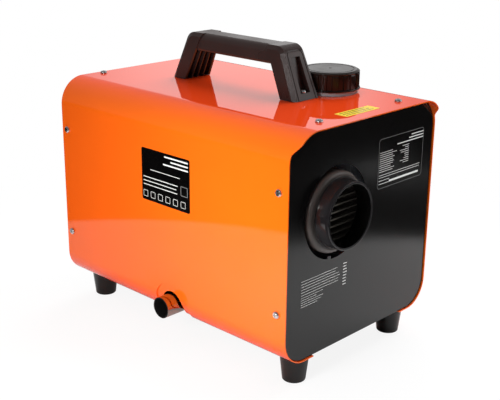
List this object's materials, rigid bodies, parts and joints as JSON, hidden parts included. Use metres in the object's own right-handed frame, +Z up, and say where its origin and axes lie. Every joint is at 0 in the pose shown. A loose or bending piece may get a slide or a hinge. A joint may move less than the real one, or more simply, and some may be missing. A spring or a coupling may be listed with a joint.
{
  "type": "portable diesel heater",
  "caption": "Portable diesel heater in an orange steel case with carrying handle, filler cap, round warm-air outlet, rear controls, and tank, pump and burner unit inside.",
  "frame": {"origin": "middle of the bounding box's footprint, on the surface that the feet stand on", "axes": "+X from the rear panel towards the warm-air outlet, +Z up, -Y towards the side with the exhaust pipe"},
  "size_m": [0.3818, 0.2624, 0.3348],
  "materials": {
    "orange_paint": "high gloss",
    "black_paint": "satin gloss",
    "rubber": "satin",
    "hose_rubber": "matt",
    "button_rubber": "matt",
    "zinc": "bright",
    "handle_plastic": "fine grain",
    "cap_plastic": "satin gloss",
    "nozzle_plastic": "gloss",
    "rear_plastic": "satin",
    "shell_plastic": "satin",
    "cast_metal": "cast",
    "raw_steel": "satin",
    "polished_steel": "polished",
    "tank_plastic": "translucent white",
    "clear_plastic": "translucent",
    "board": "satin",
    "display_glass": "gloss"
  },
  "bodies": {
    "heater": {"casing_wrap": "orange_paint", "front_panel": "black_paint", "rear_panel": "black_paint", "base_plate": "black_paint", "foot_rear_near": "rubber", "foot_rear_far": "rubber", "foot_front_near": "rubber", "foot_front_far": "rubber", "pump_mount": "rubber", "hose_tank_filter": "hose_rubber", "hose_filter_pump": "hose_rubber", "wiring_loom": "hose_rubber", "screw_front_near_low": "zinc", "screw_front_near_high": "zinc", "screw_front_near_top": "zinc", "screw_front_far_low": "zinc", "screw_front_far_high": "zinc", "screw_front_far_top": "zinc", "screw_rear_near_low": "zinc", "screw_rear_near_high": "zinc", "screw_rear_near_top": "zinc", "screw_rear_far_low": "zinc", "screw_rear_far_high": "zinc", "screw_rear_far_top": "zinc", "handle_screw_rear": "zinc", "handle_screw_front": "zinc", "handle": "handle_plastic", "outlet_nozzle": "nozzle_plastic", "outlet_guard": "nozzle_plastic", "air_inlet_grille": "rear_plastic", "control_panel": "rear_plastic", "power_socket": "rear_plastic", "tank_outlet": "rear_plastic", "intake_pipe": "rear_plastic", "heater_shell_upper": "shell_plastic", "heater_shell_lower": "shell_plastic", "heat_exchanger": "cast_metal", "blower_housing": "cast_metal", "burner": "raw_steel", "glow_plug": "raw_steel", "blower_motor": "raw_steel", "heater_bracket": "raw_steel", "fuel_pump": "raw_steel", "exhaust_pipe": "polished_steel", "fuel_tank": "tank_plastic", "fuel_filter": "clear_plastic", "fuel_line": "clear_plastic", "control_board": "board", "display_window": "display_glass"},
    "rotor": {"rotor_shaft": "raw_steel", "warm_air_fan": "shell_plastic", "combustion_fan": "shell_plastic"},
    "cap_seal": {"cap_gasket": "rubber"},
    "cap": {"fuel_cap": "cap_plastic"},
    "power_key": {"power_button": "button_rubber"},
    "up_key": {"up_button": "button_rubber"},
    "down_key": {"down_button": "button_rubber"}
  },
  "joints": [
    {"name": "rotor_spin", "type": "hinge", "parent": "heater", "child": "rotor", "pos_m": [-0.12765, -0.03995, 0.1829], "axis": [1, 0, 0], "continuous": true},
    {"name": "cap_rise", "type": "slide", "parent": "heater", "child": "cap_seal", "axis": [0, 0, 1], "range_m": [0, 0.01205]},
    {"name": "cap_turn", "type": "hinge", "parent": "cap_seal", "child": "cap", "pos_m": [0.07485, 0.06135, 0.2826], "axis": [0, 0, 1], "range_deg": [0, 720]},
    {"name": "power_press", "type": "slide", "parent": "heater", "child": "power_key", "axis": [1, 0, 0], "range_m": [0, 0.0012], "stiffness_N_per_m": 600, "springref_m": -0.0005},
    {"name": "up_press", "type": "slide", "parent": "heater", "child": "up_key", "axis": [1, 0, 0], "range_m": [0, 0.0012], "stiffness_N_per_m": 600, "springref_m": -0.0005},
    {"name": "down_press", "type": "slide", "parent": "heater", "child": "down_key", "axis": [1, 0, 0], "range_m": [0, 0.0012], "stiffness_N_per_m": 600, "springref_m": -0.0005}
  ],
  "couplings": [
    {"joint": "cap_rise", "follows": "cap_turn", "m_per_rad": 0.00095493}
  ]
}
